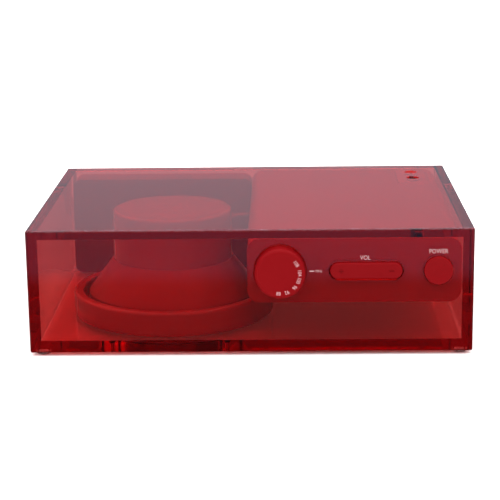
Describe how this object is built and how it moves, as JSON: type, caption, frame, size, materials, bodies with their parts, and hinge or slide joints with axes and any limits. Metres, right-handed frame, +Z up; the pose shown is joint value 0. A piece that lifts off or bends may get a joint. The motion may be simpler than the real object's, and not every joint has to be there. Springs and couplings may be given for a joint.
{
  "type": "table radio",
  "caption": "Table-top FM radio in a clear tinted box case, with a down-firing loudspeaker, tuning knob, volume rocker, power button and battery box.",
  "frame": {"origin": "middle of the underside of the bounding box, at the feet", "axes": "+X to the right seen from the front, +Y to the back, +Z up"},
  "size_m": [0.25, 0.1876, 0.073],
  "materials": {
    "tinted_acrylic": "polished clear red acrylic sheet",
    "clear_rubber": "clear soft polyurethane",
    "red_plastic": "moulded, fine satin",
    "red_gloss": "moulded, smooth",
    "red_paint": "red powder paint",
    "knob_red": "moulded, fine matte",
    "black_plastic": "moulded, matte",
    "screw_steel": "zinc plated",
    "bright_steel": "nickel plated",
    "ferrite": "ground ferrite",
    "copper": "enamelled copper",
    "paper_cone": "pressed pulp",
    "foam_gasket": "closed-cell foam",
    "spider_cloth": "resin-dipped cloth",
    "board_green": "solder-masked laminate",
    "chip_black": "moulded epoxy",
    "heat_sink_alu": "extruded, anodised",
    "wire_sheath": "PVC insulation"
  },
  "bodies": {
    "radio_case": {"amplifier_chip": "chip_black", "antenna_strip": "copper", "audio_socket": "red_plastic", "base_panel": "tinted_acrylic", "battery_box": "black_plastic", "battery_contacts": "bright_steel", "battery_springs": "bright_steel", "battery_wires": "wire_sheath", "board_ribbon": "wire_sheath", "board_screws": "screw_steel", "control_board": "board_green", "control_fascia": "red_plastic", "control_housing": "red_plastic", "dc_socket": "black_plastic", "feet": "clear_rubber", "filter_capacitors": "chip_black", "front_panel": "tinted_acrylic", "heat_sink": "heat_sink_alu", "hinge_pin": "bright_steel", "jack_board": "board_green", "jack_pillars": "screw_steel", "jack_plate": "red_plastic", "left_panel": "tinted_acrylic", "magnet_cover": "red_gloss", "main_board": "board_green", "pole_yoke": "bright_steel", "power_switch": "chip_black", "rear_panel": "tinted_acrylic", "rear_screws": "screw_steel", "right_panel": "tinted_acrylic", "ring_magnet": "ferrite", "ring_screws": "screw_steel", "rocker_pin": "bright_steel", "speaker_basket": "red_paint", "speaker_gasket": "foam_gasket", "speaker_grille": "red_gloss", "speaker_ring": "red_gloss", "speaker_terminals": "chip_black", "speaker_wires": "wire_sheath", "spider_seat": "red_paint", "top_panel": "tinted_acrylic", "top_plate": "bright_steel", "tuner_chip": "chip_black", "tuner_coils": "bright_steel", "tuning_capacitor": "chip_black", "volume_switches": "chip_black"},
    "tuning_dial": {"tuning_knob": "knob_red", "tuning_shaft": "bright_steel"},
    "volume_key": {"volume_rocker": "knob_red"},
    "power_key": {"power_button": "knob_red", "power_stem": "bright_steel"},
    "cone_drive": {"speaker_cone": "paper_cone", "dust_cap": "paper_cone", "voice_coil": "copper", "surround": "foam_gasket", "spider": "spider_cloth"},
    "battery_hatch": {"battery_door": "black_plastic"}
  },
  "joints": [
    {"name": "tuning_turn", "type": "hinge", "parent": "radio_case", "child": "tuning_dial", "pos_m": [0.017, -0.08625, 0.049], "axis": [0, -1, 0], "range_deg": [-59, 121]},
    {"name": "volume_rock", "type": "hinge", "parent": "radio_case", "child": "volume_key", "pos_m": [0.065, -0.07445, 0.049], "axis": [0, 0, 1], "range_deg": [-2, 2], "stiffness_Nm_per_rad": 1},
    {"name": "power_push", "type": "slide", "parent": "radio_case", "child": "power_key", "axis": [0, 1, 0], "range_m": [0, 0.002], "stiffness_N_per_m": 600},
    {"name": "cone_travel", "type": "slide", "parent": "radio_case", "child": "cone_drive", "axis": [0, 0, -1], "range_m": [-0.002, 0.002], "stiffness_N_per_m": 1500, "deforming": ["surround", "spider"]},
    {"name": "hatch_swing", "type": "hinge", "parent": "radio_case", "child": "battery_hatch", "pos_m": [-0.0043, 0.09185, 0.034], "axis": [0, 0, -1], "range_deg": [0, 90]}
  ]
}
